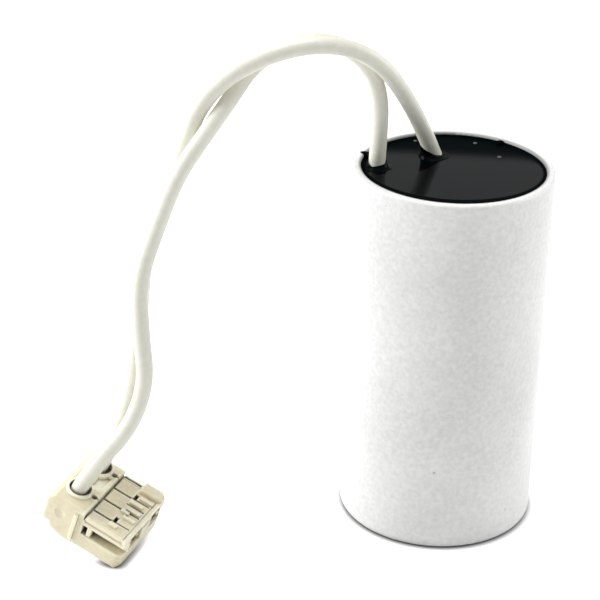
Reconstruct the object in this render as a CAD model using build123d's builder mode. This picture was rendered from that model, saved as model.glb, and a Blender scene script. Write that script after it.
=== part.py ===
from build123d import *
from math import radians, tan
import os

# Motor-run capacitor: a film roll cast into a white plastic can, with two
# insulated wires that rise from the black resin, arch over to one side and
# end in a two-pole plug housing that lies on its front corner.
# Millimetres. The can's axis is Z and its base stands on z = 0.

# Can
can_diameter = 30.0
can_height = 57.0
can_wall = 1.3
can_floor = 1.5
base_edge_radius = 1.0
rim_outer_radius = 0.45
rim_inner_radius = 0.3
base_recess_depth = 0.3
base_ring_width = 2.6
gate_mark_diameter = 2.4
gate_mark_depth = 0.35
rib_count = 4
rib_height = 1.6
rib_width = 1.2
rib_overlap = 4.4

# Resin fill
resin_recess = 0.7
meniscus_height = 0.4
meniscus_land = 0.08
collar_height = 0.5
collar_spread = 0.65
collar_climb = 0.25
collar_profile = [(-1, 1), (0, 1), (0.35, 0.35), (1, 0.1)]

# Wound element, which fills the can up to the resin's cover and side gap
resin_cover = 7.8
resin_gap = 1.3
spray_thickness = 0.7
core_diameter = 6.0
core_bore = 4.0

# Inner leads
conductor_diameter = 1.0
sleeve_wall = 0.55
sleeve_clearance = 0.05
sleeve_end_gap = 1.1
tail_bend_radius = 1.5
tail_length = 4.5
lead_bend_radius = 1.0
lead_foot_length = 8.0
lead_stub = 1.8
lead_crossing_height = 1.7
solder_radius = 1.6
solder_height = 1.35
lower_solder_height = 1.25
solder_film = 0.1
upper_solder_inset = 3.2
lower_solder_offset = 6.3

# Insulated wires, with the bend points of each route from the resin to the plug
wire_diameter = 2.5
wire_depth = 3.9
wire_wall_gap = 0.95
wire_a_route = [
    (-11.5, -0.2, 52.4),
    (-11.2, -0.3, 60.2),
    (-11.1, -0.4, 67.5),
    (-13.5, -0.9, 73.2),
    (-18.5, -2.3, 76.2),
    (-24.4, -4.2, 76.0),
    (-29.3, -6.3, 73.3),
    (-32.2, -9.0, 68.8),
    (-35.3, -12.1, 64.5),
    (-38.9, -14.8, 59.2),
    (-41.4, -17.3, 52.3),
    (-43.8, -19.5, 44.8),
    (-43.3, -21.1, 37.2),
    (-42.4, -21.8, 29.2),
    (-45.0, -22.7, 21.7),
    (-50.0, -23.2, 15.9),
    (-53.6, -21.1, 9.1),
]
wire_b_route = [
    (-1.7, 7.1, 52.4),
    (-4.3, 4.0, 59.9),
    (-7.2, 0.8, 66.6),
    (-10.4, -2.2, 72.3),
    (-14.6, -4.8, 75.9),
    (-20.1, -7.0, 77.1),
    (-26.2, -8.7, 76.0),
    (-32.0, -9.8, 73.0),
    (-36.4, -10.0, 68.2),
    (-38.6, -10.8, 61.5),
    (-41.0, -13.0, 54.6),
    (-43.5, -15.6, 47.7),
    (-43.9, -17.8, 40.5),
    (-44.2, -18.0, 32.8),
    (-45.4, -18.8, 24.6),
    (-47.9, -17.6, 16.8),
    (-51.6, -15.4, 9.7),
]

# Plug housing, in its own directions: x towards the mouth, y across the
# poles from the near side, z up out of its ribbed face.
housing_corner = (-51.36, -25.8, 8.22)
housing_forward = (0.892, -0.300, -0.337)
housing_up = (0.284, -0.208, 0.936)
pole_pitch = 6.0
near_margin = 3.7
far_margin = 2.4
upper_plate_length = 7.4
lower_plate_length = 7.5
upper_plate_thickness = 1.6
mouth_height = 1.9
housing_height = 6.4
cell_width = 3.5
cell_roof = 1.0
seam_position = -0.85
edge_round = 0.35
corner_round = 1.2
nose_round = 0.8
tongue_length = 3.5
tongue_thickness = 1.4

# Ribbed top of the housing's upper plate
step_groove = 0.3
step_groove_depth = 0.6
deck_length = 3.4
deck_depth = 0.15
deck_margin = 1.05
deck_groove = 0.4
deck_groove_depth = 0.6
deck_groove_pitch = 3.0
deck_groove_offset = 0.2
front_grooves = [2.4, 5.35, 6.85, 8.4]
front_groove = 0.3
front_groove_end = 6.5
front_groove_depth = 0.3
window_length = 0.6
window_width = 1.0
window_position = 3.9
window_offset = -0.7
rib_thickness = 0.55
rib_rise = 0.4
ribs = [(1.4, 3.5, 4.9), (4.0, 4.4, 6.4), (4.9, 3.5, 4.9), (5.8, 4.0, 6.3), (7.35, 3.7, 5.9), (9.0, 4.5, 6.8)]
front_bead = 0.5
front_bead_groove = 0.15
wing_length = 3.7
wing_width = 2.1
wing_rise = 0.85
wing_corner = 1.0
wing_round = 0.4

# Open side of the housing
rail_groove_top = 0.35
rail_groove_height = 0.55
rail_groove_depth = 0.12
slot_start = 0.2
slot_depth = 1.6
bridge_start = 1.0
bridge_width = 0.7
bridge_depth = 0.8
bridge_inset = 0.15
lance_window_start = 2.2
lance_window_length = 2.0
lance_window_width = 1.3

# Rear cap of the plug housing
cap_length = 6.4
cap_top = 0.7
cap_slope_length = 1.0
cap_slope_drop = 0.8
cap_wall = 0.9
cap_rear_wall = 1.0
cap_round = 0.5
cap_step_height = 1.7
cap_step_length = 1.3
cap_sole_rise = 0.8
cap_sole_length = 2.5
cap_fit = 0.1
lead_clearance = 0.45
hole_position = -3.25
collar_wall = 0.45
collar_rise = 0.45
collar_round = 0.3
notch_position = -0.75
notch_diameter = 0.9
notch_offset = 0.15
notch_slit = 0.3
pad_start = -2.4
pad_length = 1.7
pad_offset = 0.45
pad_width = 3.4
pad_depth = 0.45
dimple_diameter = 2.0
dimple_depth = 0.25
dimple_position = -3.85
dimple_drop = 2.0
bead_width = 0.65
bead_height = 0.35

# Contacts
contact_gauge = 0.35
contact_side_gap = 0.25
contact_head_gap = 0.5
contact_length = 5.4
contact_curl = 0.8
contact_bend = 0.35
contact_setback = 0.3
link_width = 1.6
barrel_wall = 0.35
barrel_length = 2.2
strip_length = 2.4

# Sizes that follow from those above
can_radius = can_diameter / 2
bore_radius = can_radius - can_wall
resin_top = can_height - resin_recess
stack_base = can_floor + rib_height
stack_top = resin_top - resin_cover
roll_base = stack_base + spray_thickness
roll_top = stack_top - spray_thickness
element_radius = bore_radius - resin_gap
rib_inner_radius = element_radius - rib_overlap
conductor_radius = conductor_diameter / 2
housing_width = near_margin + pole_pitch + far_margin
mouth_top = -upper_plate_thickness
mouth_floor = mouth_top - mouth_height
poles = [near_margin, near_margin + pole_pitch]
wing_near = housing_width - wing_width
hole_diameter = wire_diameter + 2 * lead_clearance
contact_width = cell_width - 2 * contact_side_gap
contact_height = mouth_height - contact_head_gap

os.makedirs("parts", exist_ok=True)

# Planes and directions of the plug housing where it lies
housing_top = Plane(origin=housing_corner, x_dir=housing_forward, z_dir=housing_up)
forward = housing_top.x_dir
across = housing_top.y_dir
upward = housing_top.z_dir
housing_side = Plane(origin=housing_corner, x_dir=forward, z_dir=across * -1)
housing_front = Plane(origin=housing_corner, x_dir=across, z_dir=forward)
forward_axis = Axis(housing_corner, forward)
across_axis = Axis(housing_corner, across)
up_axis = Axis(housing_corner, upward)


def housing_block(x_range, y_range, z_range, mode=Mode.ADD):
    """A block between two values along each of the housing's own directions."""
    with BuildSketch(housing_top.offset(z_range[0])) as outline:
        with Locations((x_range[0], y_range[0])):
            Rectangle(x_range[1] - x_range[0], y_range[1] - y_range[0], align=Align.MIN)
    extrude(outline.sketch, amount=z_range[1] - z_range[0], mode=mode)


def led_route(route, start):
    """A drawn route led from another start: the arch moves whole, and the hanging part gives way."""
    points = [Vector(point) for point in route]
    shift = start - points[0]
    rim = points[0].Z + wire_depth
    foot = points[-2].Z
    led = []
    for index, point in enumerate(points):
        highest_left = max(later.Z for later in points[index:])
        share = min(1, max(0, (highest_left - foot) / (rim - foot)))
        led.append(point + shift * share)
    return led


def corner_radii(route):
    """The largest bend at each point of a route that its two runs leave room for."""
    radii = []
    for before, corner, after in zip(route, route[1:], route[2:]):
        run_in = corner - before
        run_out = after - corner
        half_turn = radians(run_in.get_angle(run_out) / 2)
        shorter = min(run_in.length, run_out.length)
        radii.append(0.45 * shorter / tan(half_turn))
    return radii


def round_rod(route, radii, diameter):
    """A round rod or wire that follows straight runs and tangent bends."""
    with BuildPart() as rod:
        with BuildLine() as path:
            FilletPolyline(*route, radius=radii)
        with BuildSketch(Plane(origin=path.line @ 0, z_dir=path.line % 0)):
            Circle(diameter / 2)
        sweep()
    return rod


# White can, moulded in one piece, with four ribs that carry the roll
with BuildPart() as can:
    with BuildSketch(Plane.XZ):
        with BuildLine():
            Polyline(
                (0, base_recess_depth),
                (can_radius - base_ring_width, base_recess_depth),
                (can_radius - base_ring_width + base_recess_depth, 0),
                (can_radius, 0),
                (can_radius, can_height),
                (bore_radius, can_height),
                (bore_radius, can_floor),
                (0, can_floor),
                close=True,
            )
        make_face()
    revolve(axis=Axis.Z)
    fillet(can.edges().group_by(Axis.Z)[0].sort_by(SortBy.RADIUS)[-1], base_edge_radius)
    fillet(can.edges().group_by(Axis.Z)[-1].sort_by(SortBy.RADIUS)[-1], rim_outer_radius)
    fillet(can.edges().group_by(Axis.Z)[-1].sort_by(SortBy.RADIUS)[0], rim_inner_radius)
    with BuildSketch(Plane.XY.offset(can_floor)):
        rib_root = bore_radius + can_wall / 2
        with PolarLocations((rib_inner_radius + rib_root) / 2, rib_count, start_angle=180 / rib_count):
            Rectangle(rib_root - rib_inner_radius, rib_width)
    extrude(amount=rib_height)
    with BuildSketch(Plane.XY.offset(base_recess_depth)):
        Circle(gate_mark_diameter / 2)
    extrude(amount=gate_mark_depth, mode=Mode.SUBTRACT)
can.part.label = "can"

# Moulded core tube that the film is wound on
with BuildPart() as winding_core:
    with BuildSketch(Plane.XY.offset(stack_base)):
        Circle(core_diameter / 2)
        Circle(core_bore / 2, mode=Mode.SUBTRACT)
    extrude(amount=stack_top - stack_base)
winding_core.part.label = "winding_core"


def roll_ring(height, length):
    """A ring round the core: the roll of film or the metal sprayed on one of its ends."""
    with BuildPart() as ring:
        with BuildSketch(Plane.XY.offset(height)):
            Circle(element_radius)
            Circle(core_diameter / 2, mode=Mode.SUBTRACT)
        extrude(amount=length)
    return ring


film_winding = roll_ring(roll_base, roll_top - roll_base)
film_winding.part.label = "film_winding"
lower_metal_spray = roll_ring(stack_base, spray_thickness)
lower_metal_spray.part.label = "lower_metal_spray"
upper_metal_spray = roll_ring(roll_top, spray_thickness)
upper_metal_spray.part.label = "upper_metal_spray"

# The two insulated wires. Both start under the resin, wire a close to the can's left wall.
start_level = resin_top - wire_depth
start_a = Vector(wire_a_route[0])
start_a.X = wire_diameter / 2 + wire_wall_gap - bore_radius
start_a.Z = start_level
start_b = Vector(wire_b_route[0])
start_b.Z = start_level
path_a = led_route(wire_a_route, start_a)
path_b = led_route(wire_b_route, start_b)
wire_a = round_rod(path_a, corner_radii(path_a), wire_diameter)
wire_a.part.label = "wire_a"
wire_b = round_rod(path_b, corner_radii(path_b), wire_diameter)
wire_b.part.label = "wire_b"
for name, path in (("wire_a", path_a), ("wire_b", path_b)):
    print(name, "bend radii", [round(radius, 1) for radius in corner_radii(path)])

# Bare tail of wire a, bent flat onto the upper sprayed face
tail_heading = (path_a[1] - path_a[0]).normalized()
tail_level = stack_top + solder_film + conductor_radius
tail_corner = path_a[0] - tail_heading * ((path_a[0].Z - tail_level) / tail_heading.Z)
tail_route = [path_a[0], tail_corner, tail_corner + Vector(tail_length, 0, 0)]
upper_lead_tail = round_rod(tail_route, tail_bend_radius, conductor_diameter)
upper_lead_tail.part.label = "upper_lead_tail"

# Conductor from wire b down the core and out under the lower sprayed face
stub = (path_b[0] - path_b[1]).normalized() * lead_stub
foot_level = stack_base - solder_film - conductor_radius
lead_route = [
    path_b[0],
    path_b[0] + stub,
    Vector(0, 0, stack_top + lead_crossing_height),
    Vector(0, 0, foot_level),
    Vector(0, -lead_foot_length, foot_level),
]
lower_lead = round_rod(lead_route, lead_bend_radius, conductor_diameter)
lower_lead.part.label = "lower_lead"

# Insulating sleeve on that conductor inside the core
with BuildPart() as lead_sleeve:
    sleeve_bore = conductor_radius + sleeve_clearance
    with BuildSketch(Plane.XY.offset(stack_base + sleeve_end_gap)):
        Circle(sleeve_bore + sleeve_wall)
        Circle(sleeve_bore, mode=Mode.SUBTRACT)
    extrude(amount=stack_top - stack_base - sleeve_end_gap)
lead_sleeve.part.label = "lead_sleeve"


def solder_dome(centre, height, conductor):
    """A dome of solder on a sprayed face, run round the conductor laid on that face."""
    with BuildPart() as dome:
        with BuildSketch(Plane(origin=centre, x_dir=(1, 1, 0), z_dir=(1, -1, 0))):
            with BuildLine():
                Line((0, 0), (solder_radius, 0))
                EllipticalCenterArc((0, 0), solder_radius, abs(height), arc_size=90)
                Line((0, abs(height)), (0, 0))
            make_face()
        revolve(axis=Axis(centre, (0, 0, 1)))
        if height < 0:
            mirror(about=Plane(origin=centre), mode=Mode.REPLACE)
        add(conductor.part, mode=Mode.SUBTRACT)
    return dome


upper_solder_centre = (tail_corner.X + upper_solder_inset, tail_corner.Y, stack_top)
upper_solder_joint = solder_dome(upper_solder_centre, solder_height, upper_lead_tail)
upper_solder_joint.part.label = "upper_solder_joint"
lower_solder_centre = (0, -lower_solder_offset, stack_base)
lower_solder_joint = solder_dome(lower_solder_centre, -lower_solder_height, lower_lead)
lower_solder_joint.part.label = "lower_solder_joint"

# Cast resin: fills the can round every inner piece and climbs the wall and the wires a little
with BuildPart() as potting_resin:
    with BuildSketch(Plane.XZ):
        with BuildLine():
            climb = meniscus_height - meniscus_land
            foot = (bore_radius - meniscus_height, resin_top)
            crest = (bore_radius - meniscus_land, resin_top + climb)
            Line((0, resin_top), foot)
            TangentArc(foot, crest, tangent=(1, 0))
            Polyline(
                crest,
                (bore_radius, resin_top + climb),
                (bore_radius, can_floor),
                (0, can_floor),
                (0, resin_top),
            )
        make_face()
    revolve(axis=Axis.Z)
    for path in (path_a, path_b):
        heading = (path[1] - path[0]).normalized()
        entry = path[0] + heading * ((resin_top - path[0].Z) / heading.Z)
        lean = Vector(heading.X, heading.Y, 0).normalized()
        for rise, spread in collar_profile:
            tilt = collar_climb * max(0, rise)
            upright = Vector(0, 0, 1) - lean * tilt
            middle = entry + heading * (collar_height * rise / heading.Z)
            reach = wire_diameter / 2 + collar_spread * spread
            with BuildSketch(Plane(middle, x_dir=lean + Vector(0, 0, tilt), z_dir=upright)):
                Ellipse(reach / heading.dot(upright.normalized()), reach)
        loft()
    for piece in (can, winding_core, film_winding, lower_metal_spray, upper_metal_spray, lead_sleeve):
        add(piece.part, mode=Mode.SUBTRACT)
    for piece in (upper_lead_tail, lower_lead, upper_solder_joint, lower_solder_joint, wire_a, wire_b):
        add(piece.part, mode=Mode.SUBTRACT)
potting_resin.part.label = "potting_resin"

# Front housing: a ribbed upper plate and a plain lower plate with two contact cells between them
with BuildPart() as connector_body:
    with BuildSketch(housing_side):
        with BuildLine():
            Polyline(
                (seam_position, mouth_top),
                (lower_plate_length, mouth_top),
                (lower_plate_length, nose_round - housing_height),
                (lower_plate_length - nose_round, -housing_height),
                (seam_position, -housing_height),
                close=True,
            )
        make_face()
    extrude(amount=-housing_width)
    fillet(connector_body.edges().filter_by(forward_axis).group_by(up_axis)[0], edge_round)
    with BuildSketch(housing_top) as plan:
        with Locations((seam_position, 0)):
            Rectangle(lower_plate_length - seam_position, housing_width, align=Align.MIN)
        fillet(plan.vertices().group_by(Axis.X)[-1], corner_round)
    extrude(amount=-housing_height, mode=Mode.INTERSECT)
    housing_block((seam_position, upper_plate_length), (0, housing_width), (mouth_top, 0))
    fillet(connector_body.edges().filter_by(forward_axis).group_by(up_axis)[-1], edge_round)
    housing_block(
        (seam_position - tongue_length, seam_position),
        (cap_wall + cap_fit, housing_width - cap_wall - cap_fit),
        (mouth_floor - tongue_thickness, mouth_floor),
    )
    deck_sides = (deck_margin, wing_near + wing_width / 2)
    housing_block((0, deck_length), deck_sides, (-deck_depth, cap_top), Mode.SUBTRACT)
    housing_block((0, step_groove), (0, housing_width), (-step_groove_depth, cap_top), Mode.SUBTRACT)
    bead_start = upper_plate_length - front_bead
    bead_groove = (bead_start - front_bead_groove, bead_start)
    housing_block(bead_groove, (0, wing_near), (-front_bead_groove, 0), Mode.SUBTRACT)
    housing_block(
        (step_groove, bead_start),
        (0, rail_groove_depth),
        (-rail_groove_top - rail_groove_height, -rail_groove_top),
        Mode.SUBTRACT,
    )
    for pole in poles:
        cell = (pole - cell_width / 2, pole + cell_width / 2)
        housing_block((seam_position, lower_plate_length), cell, (mouth_floor, -cell_roof), Mode.SUBTRACT)
        for side in (-1, 1):
            groove_middle = pole + deck_groove_offset + side * deck_groove_pitch / 2
            groove = (groove_middle - deck_groove / 2, groove_middle + deck_groove / 2)
            housing_block((0, deck_length), groove, (-deck_groove_depth, cap_top), Mode.SUBTRACT)
        housing_block(
            (lance_window_start, lance_window_start + lance_window_length),
            (pole - lance_window_width / 2, pole + lance_window_width / 2),
            (-housing_height, mouth_floor),
            Mode.SUBTRACT,
        )
    for middle in front_grooves:
        groove = (middle - front_groove / 2, middle + front_groove / 2)
        housing_block((deck_length, front_groove_end), groove, (-front_groove_depth, cap_top), Mode.SUBTRACT)
    for middle, start, end in ribs:
        rib_sides = (middle - rib_thickness / 2, middle + rib_thickness / 2)
        housing_block((start, end), rib_sides, (-front_groove_depth, rib_rise))
    for pole in poles:
        window = pole + window_offset
        housing_block(
            (window_position - window_length / 2, window_position + window_length / 2),
            (window - window_width / 2, window + window_width / 2),
            (mouth_top, cap_top),
            Mode.SUBTRACT,
        )
    slot_run = (slot_start, lower_plate_length)
    housing_block(slot_run, (-edge_round, slot_depth), (mouth_floor, mouth_top), Mode.SUBTRACT)
    housing_block(
        (bridge_start, bridge_start + bridge_width),
        (bridge_inset, bridge_inset + bridge_depth),
        (mouth_floor, mouth_top),
    )
    with BuildSketch(housing_top.offset(mouth_top / 2)) as wing:
        with Locations((upper_plate_length - wing_length, wing_near)):
            Rectangle(wing_length, wing_width, align=Align.MIN)
        fillet(wing.vertices().group_by(Axis.X)[-1], wing_corner)
    extrude(amount=wing_rise - mouth_top / 2)
    fillet(connector_body.edges().group_by(up_axis)[-1], wing_round)
connector_body.part.label = "connector_body"

# Rear cap: slides over the tongue of the front housing and holds the wires in two collared holes
with BuildPart() as connector_cap:
    with BuildSketch(housing_side):
        with BuildLine():
            heel = cap_step_height - housing_height
            sole = cap_sole_rise - housing_height
            Polyline(
                (seam_position, 0),
                (0, 0),
                (0, cap_top),
                (cap_slope_length - cap_length, cap_top),
                (-cap_length, cap_top - cap_slope_drop),
                (-cap_length, heel),
                (cap_step_length - cap_length, heel),
                (cap_step_length - cap_length, sole),
                (cap_step_length + cap_sole_length - cap_length, -housing_height),
                (seam_position, -housing_height),
                close=True,
            )
        make_face()
    extrude(amount=-housing_width)
    top_edges = connector_cap.edges().filter_by(forward_axis).group_by(up_axis)[-1]
    fillet(top_edges, cap_round)
    housing_block(
        (cap_rear_wall - cap_length, seam_position),
        (cap_wall, housing_width - cap_wall),
        (mouth_floor - cap_fit, 0),
        Mode.SUBTRACT,
    )
    housing_block(
        (seam_position - tongue_length - cap_fit, seam_position),
        (cap_wall, housing_width - cap_wall),
        (mouth_floor - tongue_thickness - cap_fit, 0),
        Mode.SUBTRACT,
    )
    pad_middle = sum(poles) / 2 + pad_offset
    housing_block(
        (pad_start, pad_start + pad_length),
        (pad_middle - pad_width / 2, pad_middle + pad_width / 2),
        (cap_top - pad_depth, cap_top),
        Mode.SUBTRACT,
    )
    for pole in poles:
        with BuildSketch(housing_top):
            with Locations((hole_position, pole)):
                Circle(hole_diameter / 2 + collar_wall)
        extrude(amount=cap_top + collar_rise)
    collar_rims = connector_cap.edges().filter_by(GeomType.CIRCLE).group_by(up_axis)[-1]
    fillet(collar_rims, collar_round)
    for pole in poles:
        with BuildSketch(housing_top):
            with Locations((hole_position, pole)):
                Circle(hole_diameter / 2)
            with Locations((notch_position, pole + notch_offset)):
                Circle(notch_diameter / 2)
            with Locations((notch_position, pole + notch_offset - notch_slit / 2)):
                Rectangle(-notch_position, notch_slit, align=Align.MIN)
        extrude(amount=cap_top + collar_rise, mode=Mode.SUBTRACT)
    dimple_radius = (dimple_diameter**2 / 4 + dimple_depth**2) / (2 * dimple_depth)
    with Locations(housing_side * Pos(dimple_position, -dimple_drop, dimple_radius - dimple_depth)):
        Sphere(dimple_radius, mode=Mode.SUBTRACT)
    housing_block(
        (seam_position - bead_width, seam_position),
        (-bead_height, 0),
        (cap_sole_rise - housing_height, -edge_round),
    )
connector_cap.part.label = "connector_cap"


def bare_end(path):
    """The stripped conductor that carries on in line with the end of a wire."""
    last = path[-1]
    heading = (last - path[-2]).normalized()
    with BuildPart() as rod:
        with BuildSketch(Plane(origin=last, z_dir=heading)):
            Circle(conductor_radius)
        extrude(amount=strip_length)
    return rod


def contact(pole, path):
    """A stamped receptacle that lies in one cell, with its crimped barrel standing under the wire."""
    last = path[-1]
    heading = (last - path[-2]).normalized()
    front = lower_plate_length - contact_setback
    rear = front - contact_length
    half = (contact_width - contact_gauge) / 2
    low = mouth_floor + contact_gauge / 2
    high = mouth_floor + contact_height - contact_gauge / 2
    with BuildPart() as terminal:
        with BuildSketch(housing_front.offset(front)):
            with BuildLine():
                FilletPolyline(
                    (pole - half + contact_curl, high),
                    (pole - half, high),
                    (pole - half, low),
                    (pole + half, low),
                    (pole + half, high),
                    (pole + half - contact_curl, high),
                    radius=contact_bend,
                )
            trace(line_width=contact_gauge)
        extrude(amount=-contact_length)
        link = (pole - link_width / 2, pole + link_width / 2)
        link_end = hole_position - hole_diameter / 2
        housing_block((link_end, rear), link, (mouth_floor, mouth_floor + contact_gauge))
        barrel_plane = Plane(origin=last + heading * strip_length, z_dir=heading * -1)
        with BuildSketch(barrel_plane):
            Circle(conductor_radius + barrel_wall)
        extrude(amount=barrel_length)
        with BuildSketch(Plane(origin=last, z_dir=heading)):
            Circle(conductor_radius)
        extrude(amount=strip_length, mode=Mode.SUBTRACT)
    return terminal


conductor_end_a = bare_end(path_a)
conductor_end_a.part.label = "conductor_end_a"
conductor_end_b = bare_end(path_b)
conductor_end_b.part.label = "conductor_end_b"
terminal_a = contact(poles[0], path_a)
terminal_a.part.label = "terminal_a"
terminal_b = contact(poles[1], path_b)
terminal_b.part.label = "terminal_b"

export_step(can.part, "parts/can.step")
export_step(potting_resin.part, "parts/potting_resin.step")
export_step(film_winding.part, "parts/film_winding.step")
export_step(winding_core.part, "parts/winding_core.step")
export_step(lower_metal_spray.part, "parts/lower_metal_spray.step")
export_step(upper_metal_spray.part, "parts/upper_metal_spray.step")
export_step(lower_solder_joint.part, "parts/lower_solder_joint.step")
export_step(upper_solder_joint.part, "parts/upper_solder_joint.step")
export_step(upper_lead_tail.part, "parts/upper_lead_tail.step")
export_step(lower_lead.part, "parts/lower_lead.step")
export_step(lead_sleeve.part, "parts/lead_sleeve.step")
export_step(wire_a.part, "parts/wire_a.step")
export_step(wire_b.part, "parts/wire_b.step")
export_step(conductor_end_a.part, "parts/conductor_end_a.step")
export_step(conductor_end_b.part, "parts/conductor_end_b.step")
export_step(terminal_a.part, "parts/terminal_a.step")
export_step(terminal_b.part, "parts/terminal_b.step")
export_step(connector_body.part, "parts/connector_body.step")
export_step(connector_cap.part, "parts/connector_cap.step")
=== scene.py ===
import bpy
import bmesh
from math import cos, pi, radians, sin
from mathutils import Matrix, Vector


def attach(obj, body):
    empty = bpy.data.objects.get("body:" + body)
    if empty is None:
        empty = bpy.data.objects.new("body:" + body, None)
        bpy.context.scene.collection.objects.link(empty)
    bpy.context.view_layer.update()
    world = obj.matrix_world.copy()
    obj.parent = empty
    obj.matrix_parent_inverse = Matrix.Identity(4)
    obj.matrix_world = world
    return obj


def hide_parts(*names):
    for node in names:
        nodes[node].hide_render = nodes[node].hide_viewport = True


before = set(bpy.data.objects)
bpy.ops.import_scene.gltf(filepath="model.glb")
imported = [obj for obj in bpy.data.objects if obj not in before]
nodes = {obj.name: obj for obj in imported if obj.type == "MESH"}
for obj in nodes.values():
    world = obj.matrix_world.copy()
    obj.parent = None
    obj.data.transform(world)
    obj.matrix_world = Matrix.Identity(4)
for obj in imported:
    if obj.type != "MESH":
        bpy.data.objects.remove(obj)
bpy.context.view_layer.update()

# Camera: a long lens a third of a metre in front of the can, looking down on it by about 26
# degrees and leaning a little to one side, as the photograph was taken.
camera_place = Vector((0, -0.2743, 0.1681))
camera_yaw = radians(-4.629)
camera_pitch = radians(26.056)
camera_roll = radians(-1.4895)

gaze = Vector((sin(camera_yaw) * cos(camera_pitch), cos(camera_yaw) * cos(camera_pitch), -sin(camera_pitch)))
level = Vector((cos(camera_yaw), -sin(camera_yaw), 0))
drop = gaze.cross(level)
camera_right = level * cos(camera_roll) + drop * sin(camera_roll)
camera_up = level * sin(camera_roll) - drop * cos(camera_roll)
camera_data = bpy.data.cameras.new("camera")
camera_data.sensor_width = 36
camera_data.lens = 120
camera_data.clip_start = 0.01
camera = bpy.data.objects.new("camera", camera_data)
bpy.context.collection.objects.link(camera)
turn = Matrix((camera_right, camera_up, -gaze)).transposed().to_4x4()
camera.matrix_world = Matrix.Translation(camera_place) @ turn
bpy.context.scene.camera = camera
bpy.context.scene.view_settings.view_transform = "Standard"

# Studio: a white table that runs on to the horizon in a white room. Seen directly or in a gloss
# both are plain white; what they throw back on the object is less. Softboxes stand at the left
# and at the right, and a weak one hangs over the can.
floor_half_width = 2.5
floor_colour = (0.86, 0.86, 0.86, 1)
floor_glow = 0.7
# Reach and strength of a painted contact shadow on the table next to the object.
contact_shadow_reach = 0.0012
contact_shadow_power = 2
room_light = 0.4

bpy.ops.mesh.primitive_grid_add(x_subdivisions=8, y_subdivisions=8, size=2 * floor_half_width)
floor = bpy.context.object
floor.name = "studio_floor"
floor_finish = bpy.data.materials.new("studio_floor")
floor_finish.use_nodes = True
floor_nodes = floor_finish.node_tree.nodes
floor_links = floor_finish.node_tree.links
floor_nodes["Principled BSDF"].inputs["Roughness"].default_value = 1
floor_nodes["Principled BSDF"].inputs["Specular IOR Level"].default_value = 0
room = bpy.data.worlds.new("white_room")
room.use_nodes = True
bpy.context.scene.world = room
room_nodes = room.node_tree.nodes
room_links = room.node_tree.links


def plain_sight(parts, links):
    """One where a ray comes from the camera, a gloss or clear plastic, and zero for soft light."""
    path = parts.new("ShaderNodeLightPath")
    seen_or_glossed = parts.new("ShaderNodeMath")
    seen_or_glossed.operation = "MAXIMUM"
    any_sight = parts.new("ShaderNodeMath")
    any_sight.operation = "MAXIMUM"
    links.new(path.outputs["Is Camera Ray"], seen_or_glossed.inputs[0])
    links.new(path.outputs["Is Glossy Ray"], seen_or_glossed.inputs[1])
    links.new(seen_or_glossed.outputs[0], any_sight.inputs[0])
    links.new(path.outputs["Is Transmission Ray"], any_sight.inputs[1])
    return any_sight.outputs[0]


# Painted contact shadow: close to the object, ambient occlusion darkens the floor's colour and takes away its
# glow.
painted_contact_shadow = floor_nodes.new("ShaderNodeAmbientOcclusion")
painted_contact_shadow.samples = 8
painted_contact_shadow.inputs["Color"].default_value = floor_colour
painted_contact_shadow.inputs["Distance"].default_value = contact_shadow_reach
openness = floor_nodes.new("ShaderNodeMath")
openness.operation = "POWER"
openness.inputs[1].default_value = contact_shadow_power
open_glow = floor_nodes.new("ShaderNodeMath")
open_glow.operation = "MULTIPLY"
glow_strength = floor_nodes.new("ShaderNodeMath")
glow_strength.operation = "MULTIPLY"
glow_strength.inputs[1].default_value = floor_glow
glow = floor_nodes.new("ShaderNodeEmission")
lit_floor = floor_nodes.new("ShaderNodeAddShader")
floor_links.new(painted_contact_shadow.outputs["Color"], floor_nodes["Principled BSDF"].inputs["Base Color"])
floor_links.new(painted_contact_shadow.outputs["AO"], openness.inputs[0])
floor_links.new(openness.outputs[0], open_glow.inputs[0])
floor_links.new(plain_sight(floor_nodes, floor_links), open_glow.inputs[1])
floor_links.new(open_glow.outputs[0], glow_strength.inputs[0])
floor_links.new(glow_strength.outputs[0], glow.inputs["Strength"])
floor_links.new(floor_nodes["Principled BSDF"].outputs[0], lit_floor.inputs[0])
floor_links.new(glow.outputs[0], lit_floor.inputs[1])
floor_links.new(lit_floor.outputs[0], floor_nodes["Material Output"].inputs["Surface"])
floor.data.materials.append(floor_finish)

room_strength = room_nodes.new("ShaderNodeMapRange")
room_strength.inputs["To Min"].default_value = room_light
room_strength.inputs["To Max"].default_value = 1
room_nodes["Background"].inputs["Color"].default_value = (1, 1, 1, 1)
room_links.new(plain_sight(room_nodes, room_links), room_strength.inputs["Value"])
room_links.new(room_strength.outputs[0], room_nodes["Background"].inputs["Strength"])


def soft_lamp(name, place, aim, width, height, power):
    """A rectangular softbox that faces a point on the object."""
    lamp_data = bpy.data.lights.new(name, "AREA")
    lamp_data.shape = "RECTANGLE"
    lamp_data.size = width
    lamp_data.size_y = height
    lamp_data.energy = power
    lamp = bpy.data.objects.new(name, lamp_data)
    lamp.location = place
    lamp.rotation_euler = (Vector(aim) - Vector(place)).to_track_quat("-Z", "Y").to_euler()
    lamp.visible_camera = False
    bpy.context.collection.objects.link(lamp)


soft_lamp("left_softbox", (-1.5, 0.0, 0.42), (0, 0, 0.03), 0.9, 1.2, 25.5)
soft_lamp("right_softbox", (0.8, 0.25, 0.3), (0, 0, 0.03), 0.4, 0.6, 2.8)
soft_lamp("top_softbox", (-0.1, 0.05, 0.9), (0, 0, 0), 0.6, 0.6, 4.7)

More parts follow.
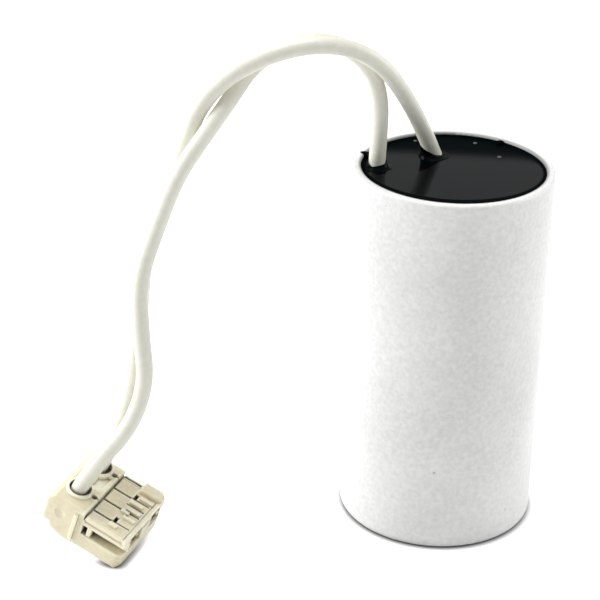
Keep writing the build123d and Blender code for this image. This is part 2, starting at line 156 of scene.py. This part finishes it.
# Can: a cup moulded in white plastic, with a smooth wall, a rounded rim, a fine speckle of filler
# under its sheen and a dark fleck here and there. The rest of the capacitor stands in it.
can_white = (0.87, 0.87, 0.86, 1)
can_grey = (0.71, 0.71, 0.70, 1)
can_fleck = (0.45, 0.46, 0.44, 1)
can_fleck_scale = 170
# Painted shade: a grey band inside the rim, above the resin, where the inner wall lies in shade.
rim_painted_shade = (0.30, 0.30, 0.29, 1)
rim_shade_inner_radius = 0.01375
rim_shade_outer_radius = 0.0143
rim_shade_foot = 0.0555
rim_shade_top = 0.0560
fleck_edge = 0.045
fleck_core = 0.02
darkest_grain = 0.7
lightest_grain = 1.3


def plain_finish(name, roughness):
    """A new material with its nodes, links and Principled shader at hand."""
    finish = bpy.data.materials.new(name)
    finish.use_nodes = True
    shader = finish.node_tree.nodes["Principled BSDF"]
    shader.inputs["Roughness"].default_value = roughness
    return finish, finish.node_tree.nodes, finish.node_tree.links, shader


def dress(finish, *node_names):
    """Gives pieces of the frame their finish."""
    for node_name in node_names:
        for material_slot in nodes[node_name].material_slots:
            material_slot.material = finish


def grain_group():
    """A surface's grain: masks of speckle, flow and sparse flecks, and a normal bent by the speckle."""
    group = bpy.data.node_groups.new("surface_grain", "ShaderNodeTree")
    for label, start in (("Fine Scale", 2500.0), ("Flow Scale", 90.0), ("Fleck Scale", 200.0), ("Bump", 0.1)):
        given_value = group.interface.new_socket(label, in_out="INPUT", socket_type="NodeSocketFloat")
        given_value.default_value = start
    for label in ("Speckle", "Flow", "Fleck"):
        group.interface.new_socket(label, in_out="OUTPUT", socket_type="NodeSocketFloat")
    group.interface.new_socket("Normal", in_out="OUTPUT", socket_type="NodeSocketVector")
    inside = group.nodes
    join = group.links.new
    given = inside.new("NodeGroupInput")
    made = inside.new("NodeGroupOutput")
    place = inside.new("ShaderNodeTexCoord")
    fine = inside.new("ShaderNodeTexNoise")
    fine.inputs["Detail"].default_value = 3
    flow = inside.new("ShaderNodeTexNoise")
    flow.inputs["Detail"].default_value = 2
    dots = inside.new("ShaderNodeTexVoronoi")
    fleck = inside.new("ShaderNodeMapRange")
    fleck.inputs["From Min"].default_value = fleck_edge
    fleck.inputs["From Max"].default_value = fleck_core
    bump = inside.new("ShaderNodeBump")
    bump.inputs["Distance"].default_value = 0.0001
    join(place.outputs["Object"], fine.inputs["Vector"])
    join(place.outputs["Object"], flow.inputs["Vector"])
    join(given.outputs["Fine Scale"], fine.inputs["Scale"])
    join(given.outputs["Flow Scale"], flow.inputs["Scale"])
    join(place.outputs["Object"], dots.inputs["Vector"])
    join(given.outputs["Fleck Scale"], dots.inputs["Scale"])
    join(dots.outputs["Distance"], fleck.inputs["Value"])
    join(fleck.outputs[0], made.inputs["Fleck"])
    join(given.outputs["Bump"], bump.inputs["Strength"])
    join(fine.outputs["Fac"], bump.inputs["Height"])
    join(fine.outputs["Fac"], made.inputs["Speckle"])
    join(flow.outputs["Fac"], made.inputs["Flow"])
    join(bump.outputs["Normal"], made.inputs["Normal"])
    return group


surface_grain = grain_group()


def grained(name, dark, light, roughness, fine_scale, flow_scale, bump, metal=0.0, gloss=0.5):
    """A finish whose colour runs between two close tones with its speckle and its flow."""
    finish, parts, links, shader = plain_finish(name, roughness)
    shader.inputs["Metallic"].default_value = metal
    shader.inputs["Specular IOR Level"].default_value = gloss
    grain = parts.new("ShaderNodeGroup")
    grain.node_tree = surface_grain
    grain.inputs["Fine Scale"].default_value = fine_scale
    grain.inputs["Flow Scale"].default_value = flow_scale
    grain.inputs["Bump"].default_value = bump
    both = parts.new("ShaderNodeMath")
    both.operation = "ADD"
    share = parts.new("ShaderNodeMapRange")
    share.inputs["From Min"].default_value = darkest_grain
    share.inputs["From Max"].default_value = lightest_grain
    tone = parts.new("ShaderNodeMix")
    tone.data_type = "RGBA"
    tone.inputs["A"].default_value = dark
    tone.inputs["B"].default_value = light
    links.new(grain.outputs["Speckle"], both.inputs[0])
    links.new(grain.outputs["Flow"], both.inputs[1])
    links.new(both.outputs[0], share.inputs["Value"])
    links.new(share.outputs[0], tone.inputs["Factor"])
    links.new(tone.outputs["Result"], shader.inputs["Base Color"])
    links.new(grain.outputs["Normal"], shader.inputs["Normal"])
    return finish


def blended(parts, links, share, first, second):
    """A colour socket turned towards a second colour by a mask."""
    blend = parts.new("ShaderNodeMix")
    blend.data_type = "RGBA"
    blend.inputs["B"].default_value = second
    links.new(share, blend.inputs["Factor"])
    links.new(first, blend.inputs["A"])
    return blend.outputs["Result"]


def distance_from(parts, links, middle, stretch):
    """How far a point of the surface lies from an upright axis, measured with a stretch each way."""
    place = parts.new("ShaderNodeTexCoord")
    offset = parts.new("ShaderNodeVectorMath")
    offset.operation = "SUBTRACT"
    offset.inputs[1].default_value = middle
    flat = parts.new("ShaderNodeVectorMath")
    flat.operation = "MULTIPLY"
    flat.inputs[1].default_value = stretch
    distance = parts.new("ShaderNodeVectorMath")
    distance.operation = "LENGTH"
    links.new(place.outputs["Object"], offset.inputs[0])
    links.new(offset.outputs[0], flat.inputs[0])
    links.new(flat.outputs[0], distance.inputs[0])
    return distance.outputs["Value"]


def soft_step(parts, links, value, start, end):
    """A mask that rises from zero to one between two values."""
    step = parts.new("ShaderNodeMapRange")
    step.interpolation_type = "SMOOTHSTEP"
    step.inputs["From Min"].default_value = start
    step.inputs["From Max"].default_value = end
    links.new(value, step.inputs["Value"])
    return step.outputs[0]


def object_axis(parts, links, axis):
    """One coordinate of a point of the surface."""
    split = parts.new("ShaderNodeSeparateXYZ")
    links.new(parts.new("ShaderNodeTexCoord").outputs["Object"], split.inputs[0])
    return split.outputs[axis]


can_finish = grained("white_case", can_grey, can_white, 0.45, 1500, 60, 0.25)
can_parts = can_finish.node_tree.nodes
can_links = can_finish.node_tree.links
can_shader = can_parts["Principled BSDF"]
can_grain = can_shader.inputs["Normal"].links[0].from_node
can_grain.inputs["Fleck Scale"].default_value = can_fleck_scale
can_tone = can_shader.inputs["Base Color"].links[0].from_socket
flecked = blended(can_parts, can_links, can_grain.outputs["Fleck"], can_tone, can_fleck)
# Painted shade inside the rim: the colour turns grey in a ring at the top of the inner wall.
height = object_axis(can_parts, can_links, "Z")
at_the_top = soft_step(can_parts, can_links, height, rim_shade_foot, rim_shade_top)
from_axis = distance_from(can_parts, can_links, (0, 0, 0), (1, 1, 0))
inner_edge = soft_step(can_parts, can_links, from_axis, rim_shade_outer_radius, rim_shade_inner_radius)
rim_shade_mask = can_parts.new("ShaderNodeMath")
rim_shade_mask.operation = "MULTIPLY"
can_links.new(at_the_top, rim_shade_mask.inputs[0])
can_links.new(inner_edge, rim_shade_mask.inputs[1])
rim_shaded_tone = blended(can_parts, can_links, rim_shade_mask.outputs[0], flecked, rim_painted_shade)
can_links.new(rim_shaded_tone, can_shader.inputs["Base Color"])
dress(can_finish, "can")

# Resin: black casting resin that levelled itself and set glossy, duller where it wetted the wall. Its
# shine is turned down towards the far side, a painted darker reflection. It wicked up the leads on
# the side that they lean to, splashed the rim where it was poured and left a few bubbles.
resin_black = (0.0012, 0.0024, 0.0028, 1)
resin_gloss = 0.03
dull_middle = (0, 0.0010, 0)
dull_stretch = (1, 1.11, 0)
glossy_radius = 0.0130
dull_radius = 0.0134
lowest_shine = 0.008
# Where the painted darker reflection at the far side begins and where it is full.
far_reflection_darkens_from = 0.0030
far_reflection_darkest_from = 0.0095
glossy_roughness = 0.1
dull_roughness = 0.75
resin_level = 0.0563
lead_diameter = 0.0025
skirt_spread = 0.0010
skirt_root = 0.0003
skirt_overlap = 0.0001
skirt_film = 0.00003
skirt_hollow = 2.4
skirt_sides = 48
blob_unevenness = 0.15

resin_finish, resin_parts, resin_links, resin_shader = plain_finish("black_resin", glossy_roughness)
resin_shader.inputs["Base Color"].default_value = resin_black
resin_radius = distance_from(resin_parts, resin_links, dull_middle, dull_stretch)
dull_edge = soft_step(resin_parts, resin_links, resin_radius, glossy_radius, dull_radius)
# Painted reflection: towards the far side the resin's shine is turned down, so it reflects less and looks
# darker.
depth = object_axis(resin_parts, resin_links, "Y")
far_dark_reflection = soft_step(resin_parts, resin_links, depth, far_reflection_darkens_from, far_reflection_darkest_from)
wall_dullness_and_far_darkening = resin_parts.new("ShaderNodeMath")
wall_dullness_and_far_darkening.operation = "MAXIMUM"
resin_roughness = resin_parts.new("ShaderNodeMapRange")
resin_roughness.inputs["To Min"].default_value = glossy_roughness
resin_roughness.inputs["To Max"].default_value = dull_roughness
resin_shine = resin_parts.new("ShaderNodeMapRange")
resin_shine.inputs["To Min"].default_value = resin_gloss
resin_shine.inputs["To Max"].default_value = lowest_shine
resin_grain = resin_parts.new("ShaderNodeGroup")
resin_grain.node_tree = surface_grain
resin_grain.inputs["Fine Scale"].default_value = 700
resin_grain.inputs["Bump"].default_value = 0.04
resin_links.new(dull_edge, wall_dullness_and_far_darkening.inputs[0])
resin_links.new(far_dark_reflection, wall_dullness_and_far_darkening.inputs[1])
resin_links.new(wall_dullness_and_far_darkening.outputs[0], resin_roughness.inputs["Value"])
resin_links.new(resin_roughness.outputs[0], resin_shader.inputs["Roughness"])
resin_links.new(wall_dullness_and_far_darkening.outputs[0], resin_shine.inputs["Value"])
resin_links.new(resin_shine.outputs[0], resin_shader.inputs["Specular IOR Level"])
resin_links.new(resin_grain.outputs["Normal"], resin_shader.inputs["Normal"])
dress(resin_finish, "potting_resin")


def resin_piece(name, shape, finish):
    """A smooth piece from a bmesh, fixed to the cast resin."""
    bmesh.ops.recalc_face_normals(shape, faces=shape.faces)
    mesh = bpy.data.meshes.new(name)
    shape.to_mesh(mesh)
    shape.free()
    mesh.materials.append(finish)
    for face in mesh.polygons:
        face.use_smooth = True
    piece = bpy.data.objects.new(name, mesh)
    bpy.context.collection.objects.link(piece)
    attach(piece, "root")


def resin_skirt(name, entry, heading, high_side, high, low):
    """The resin drawn up round a lead, highest on one side, as a closed ring about the lead."""
    along = Vector(heading).normalized()
    first = Vector((1, 0, 0)).cross(along).normalized()
    second = along.cross(first)
    shape = bmesh.new()
    rings = []
    for step in range(skirt_sides):
        turn = 2 * pi * step / skirt_sides
        outward = first * cos(turn) + second * sin(turn)
        facing = cos(radians(high_side)) * outward.x + sin(radians(high_side)) * outward.y
        climb = low + (high - low) * (1 + facing) / 2
        radius = lead_diameter / 2
        outline = [(radius - skirt_overlap, climb)]
        for share in (0, 0.08, 0.2, 0.4, 0.65, 1):
            reach = radius + skirt_film + skirt_spread * share
            outline.append((reach, climb * (1 - share) ** skirt_hollow))
        outline.append((radius + skirt_spread, -skirt_root))
        outline.append((radius - skirt_overlap, -skirt_root))
        ring = []
        for reach, rise in outline:
            spot = outward * reach
            run = (rise - spot.z) / along.z
            ring.append(shape.verts.new(Vector(entry) + along * run + spot))
        rings.append(ring)
    for ring, following in zip(rings, rings[1:] + rings[:1]):
        for place in range(len(ring)):
            after = (place + 1) % len(ring)
            shape.faces.new((ring[place], ring[after], following[after], following[place]))
    resin_piece(name, shape, resin_finish)


resin_skirt("resin_skirt_a", (-0.01135, -0.00025, resin_level), (0.3, -0.1, 7.8), 90, 0.0020, 0.0003)
resin_skirt("resin_skirt_b", (-0.00305, 0.00549, resin_level), (-2.6, -3.1, 7.5), 165, 0.0026, 0.0003)


bubble_finish = grained(
    "resin_bubble", (0.01, 0.012, 0.012, 1), (0.07, 0.075, 0.075, 1), 0.3, 3000, 800, 0.1
)


def resin_blob(name, place, size, flatness, finish):
    """A rounded drop of resin, or the skin of a bubble, that lies on the surface under it."""
    shape = bmesh.new()
    bmesh.ops.create_icosphere(shape, subdivisions=3, radius=size)
    for point in shape.verts:
        point.co.x *= 1 + blob_unevenness * sin(5 * point.co.y / size)
        point.co.z *= flatness
        point.co += Vector(place)
    resin_piece(name, shape, finish)


resin_blob("bubble_back", (-0.0061, 0.0110, resin_level), 0.00028, 0.6, bubble_finish)
resin_blob("bubble_right", (0.0030, 0.0114, resin_level), 0.00032, 0.6, bubble_finish)
resin_blob("bubble_side", (0.0067, 0.0062, resin_level), 0.00034, 0.6, bubble_finish)
resin_blob("rim_splash", (-0.01345, 0.0034, 0.0566), 0.0009, 0.6, resin_finish)
resin_blob("rim_drop", (0.0068, 0.0115, 0.0566), 0.0006, 0.6, resin_finish)

# Element under the resin: the roll of metallised film on its core, sprayed with zinc at both
# ends, with the soldered conductors that join it to the leads.
film_finish = grained(
    "wound_film", (0.55, 0.55, 0.57, 1), (0.68, 0.68, 0.7, 1), 0.3, 2600, 300, 0.1, metal=0.6
)
core_finish = grained("core_plastic", (0.72, 0.72, 0.68, 1), (0.82, 0.82, 0.78, 1), 0.5, 1500, 100, 0.1)
zinc_finish = grained(
    "sprayed_zinc", (0.42, 0.43, 0.45, 1), (0.6, 0.61, 0.63, 1), 0.65, 3500, 300, 0.8, metal=1.0
)
solder_finish = grained("solder", (0.6, 0.6, 0.62, 1), (0.72, 0.72, 0.74, 1), 0.3, 1500, 300, 0.2, metal=1.0)
copper_finish = grained(
    "tinned_copper", (0.64, 0.62, 0.58, 1), (0.76, 0.74, 0.7, 1), 0.3, 3000, 300, 0.2, metal=1.0
)
sleeve_finish = grained("sleeve_plastic", (0.78, 0.77, 0.73, 1), (0.86, 0.85, 0.81, 1), 0.45, 1500, 100, 0.1)
dress(film_finish, "film_winding")
dress(core_finish, "winding_core")
dress(zinc_finish, "lower_metal_spray", "upper_metal_spray")
dress(solder_finish, "lower_solder_joint", "upper_solder_joint")
dress(copper_finish, "upper_lead_tail", "lower_lead", "conductor_end_a", "conductor_end_b")
dress(sleeve_finish, "lead_sleeve")

# Leads: two stranded wires in ivory insulation. Each leaves the resin, arches over to the left
# and hangs down to the plug, with one slow turn round the other.
insulation_finish = grained(
    "wire_insulation", (0.76, 0.75, 0.65, 1), (0.84, 0.83, 0.73, 1), 0.35, 1200, 50, 0.1
)


def lead(name, node_name, points):
    """A lead along its bend points, which are the same as its tube's in the frame."""
    line = bpy.data.curves.new(name, "CURVE")
    line.dimensions = "3D"
    line.bevel_depth = lead_diameter / 2
    line.bevel_resolution = 8
    line.resolution_u = 16
    line.use_fill_caps = True
    spline = line.splines.new("NURBS")
    spline.points.add(len(points) - 1)
    for knot, point in zip(spline.points, points):
        knot.co = (*point, 1)
    spline.order_u = 3
    spline.use_endpoint_u = True
    line.materials.append(insulation_finish)
    wire = bpy.data.objects.new(name, line)
    bpy.context.collection.objects.link(wire)
    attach(wire, "root")
    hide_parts(node_name)


lead(
    "lead_a",
    "wire_a",
    [
        (-0.0115, -0.0002, 0.0524),
        (-0.0112, -0.0003, 0.0602),
        (-0.0111, -0.0004, 0.0675),
        (-0.0135, -0.0009, 0.0732),
        (-0.0185, -0.0023, 0.0762),
        (-0.0244, -0.0042, 0.0760),
        (-0.0293, -0.0063, 0.0733),
        (-0.0322, -0.0090, 0.0688),
        (-0.0353, -0.0121, 0.0645),
        (-0.0389, -0.0148, 0.0592),
        (-0.0414, -0.0173, 0.0523),
        (-0.0438, -0.0195, 0.0448),
        (-0.0433, -0.0211, 0.0372),
        (-0.0424, -0.0218, 0.0292),
        (-0.0450, -0.0227, 0.0217),
        (-0.0500, -0.0232, 0.0159),
        (-0.0536, -0.0211, 0.0091),
    ],
)
lead(
    "lead_b",
    "wire_b",
    [
        (-0.0017, 0.0071, 0.0524),
        (-0.0043, 0.0040, 0.0599),
        (-0.0072, 0.0008, 0.0666),
        (-0.0104, -0.0022, 0.0723),
        (-0.0146, -0.0048, 0.0759),
        (-0.0201, -0.0070, 0.0771),
        (-0.0262, -0.0087, 0.0760),
        (-0.0320, -0.0098, 0.0730),
        (-0.0364, -0.0100, 0.0682),
        (-0.0386, -0.0108, 0.0615),
        (-0.0410, -0.0130, 0.0546),
        (-0.0435, -0.0156, 0.0477),
        (-0.0439, -0.0178, 0.0405),
        (-0.0442, -0.0180, 0.0328),
        (-0.0454, -0.0188, 0.0246),
        (-0.0479, -0.0176, 0.0168),
        (-0.0516, -0.0154, 0.0097),
    ],
)

# Plug housing: front housing and rear cap, both moulded in ivory nylon that lets some light through.
# A painted highlight pales thin ribs and edges; painted shade turns cells, grooves and corners a warm brown.
nylon_dark = (0.72, 0.65, 0.46, 1)
nylon_light = (0.84, 0.775, 0.58, 1)
# Painted highlight colour for thin ribs and edges.
nylon_painted_highlight = (0.98, 0.95, 0.77, 1)
# Painted shade colour for corners and grooves.
nylon_painted_shade = (0.76, 0.66, 0.45, 1)
# Painted deep shade colour for cells, slots and holes.
nylon_painted_deep_shade = (0.02, 0.013, 0.007, 1)
edge_softness = 0.00028
corner_reach = 0.0014
hollow_reach = 0.0035
edge_reach = 0.0006
nylon_clarity = 0.5
light_reach = 0.0007
reach_by_colour = (1.0, 0.9, 0.7)

nylon_finish = grained("ivory_nylon", nylon_dark, nylon_light, 0.38, 1500, 150, 0.15)
nylon_parts = nylon_finish.node_tree.nodes
nylon_links = nylon_finish.node_tree.links
nylon_shader = nylon_parts["Principled BSDF"]
nylon_shader.inputs["Subsurface Weight"].default_value = nylon_clarity
nylon_shader.inputs["Subsurface Radius"].default_value = reach_by_colour
nylon_shader.inputs["Subsurface Scale"].default_value = light_reach
nylon_tone = nylon_shader.inputs["Base Color"].links[0].from_socket


def nearness(parts, links, reach, start, end, inside):
    """A mask of the places that other surfaces crowd: corners, or from inside the thin edges. It paints shade
    and highlights.
    """
    sight = parts.new("ShaderNodeAmbientOcclusion")
    sight.samples = 12
    sight.inside = inside
    sight.inputs["Distance"].default_value = reach
    mask = parts.new("ShaderNodeMapRange")
    mask.inputs["From Min"].default_value = start
    mask.inputs["From Max"].default_value = end
    links.new(sight.outputs["AO"], mask.inputs["Value"])
    return mask.outputs[0]


# Painted highlight: thin ribs and edges are turned paler.
edge_highlight_mask = nearness(nylon_parts, nylon_links, edge_reach, 0.9, 0.4, True)
# Painted shade: corners and grooves are turned a warm brown.
corners = nearness(nylon_parts, nylon_links, corner_reach, 0.8, 0.2, False)
# Painted shade: deep hollows and holes are turned nearly black.
hollows = nearness(nylon_parts, nylon_links, hollow_reach, 0.3, 0.12, False)
nylon_tone = blended(nylon_parts, nylon_links, edge_highlight_mask, nylon_tone, nylon_painted_highlight)
nylon_tone = blended(nylon_parts, nylon_links, corners, nylon_tone, nylon_painted_shade)
nylon_tone = blended(nylon_parts, nylon_links, hollows, nylon_tone, nylon_painted_deep_shade)
nylon_links.new(nylon_tone, nylon_shader.inputs["Base Color"])
soft_edges = nylon_parts.new("ShaderNodeBevel")
soft_edges.samples = 8
soft_edges.inputs["Radius"].default_value = edge_softness
nylon_links.new(soft_edges.outputs["Normal"], nylon_shader.inputs["Normal"])
dress(nylon_finish, "connector_body", "connector_cap")

# Contacts: two stamped receptacles that lie in the plug's cells.
brass_finish = grained(
    "tinned_brass", (0.62, 0.57, 0.45, 1), (0.74, 0.7, 0.58, 1), 0.35, 2500, 200, 0.15, metal=1.0
)
dress(brass_finish, "terminal_a", "terminal_b")
